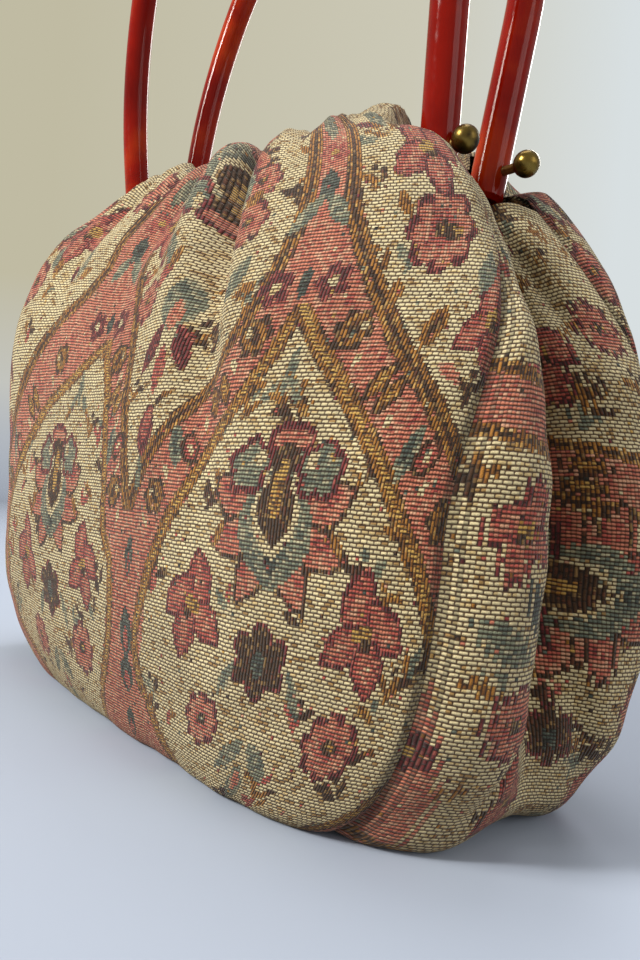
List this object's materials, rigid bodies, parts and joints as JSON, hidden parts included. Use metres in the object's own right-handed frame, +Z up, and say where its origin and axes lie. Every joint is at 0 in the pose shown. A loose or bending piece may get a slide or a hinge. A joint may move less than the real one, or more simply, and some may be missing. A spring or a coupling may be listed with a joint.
{
  "type": "tapestry handbag",
  "caption": "Soft open-topped bag of woven floral tapestry, gathered on rods, with folded sides and arched resin handles that swing on ball-ended brass rods.",
  "frame": {"origin": "centre of the bag's base, on the surface it stands on", "axes": "+Z up; +X along the rods, to the right seen from the front; the front panel faces -Y"},
  "size_m": [0.3112, 0.144, 0.4016],
  "materials": {
    "tapestry": "jacquard-woven floral tapestry, cream, salmon, maroon, ochre and blue-grey",
    "lining": "plain tan cotton lining",
    "amber_resin": "glossy translucent red-amber resin",
    "aged_brass": "dark antiqued brass, polished high spots",
    "rod_brass": "dull antiqued brass rod"
  },
  "bodies": {
    "bag": {"front_panel": "tapestry", "rear_panel": "tapestry", "gusset": "tapestry", "lining": "lining", "front_sleeve": "tapestry", "rear_sleeve": "tapestry"},
    "front_rod_set": {"front_rod": "rod_brass", "front_finials": "aged_brass"},
    "rear_rod_set": {"rear_rod": "rod_brass", "rear_finials": "aged_brass"},
    "front_handle": {"front_handle": "amber_resin"},
    "rear_handle": {"rear_handle": "amber_resin"}
  },
  "joints": [
    {"name": "front_handle_swing", "type": "hinge", "parent": "bag", "child": "front_handle", "pos_m": [0, -0.0125, 0.2], "axis": [1, 0, 0], "range_deg": [-7.5, 64]},
    {"name": "rear_handle_swing", "type": "hinge", "parent": "bag", "child": "rear_handle", "pos_m": [0, 0.0125, 0.2], "axis": [1, 0, 0], "range_deg": [-65, 6.5]},
    {"name": "front_rod_end_play", "type": "slide", "parent": "bag", "child": "front_rod_set", "axis": [1, 0, 0], "range_m": [0, 0.0039]},
    {"name": "rear_rod_end_play", "type": "slide", "parent": "bag", "child": "rear_rod_set", "axis": [1, 0, 0], "range_m": [-0.0039, 0]}
  ]
}
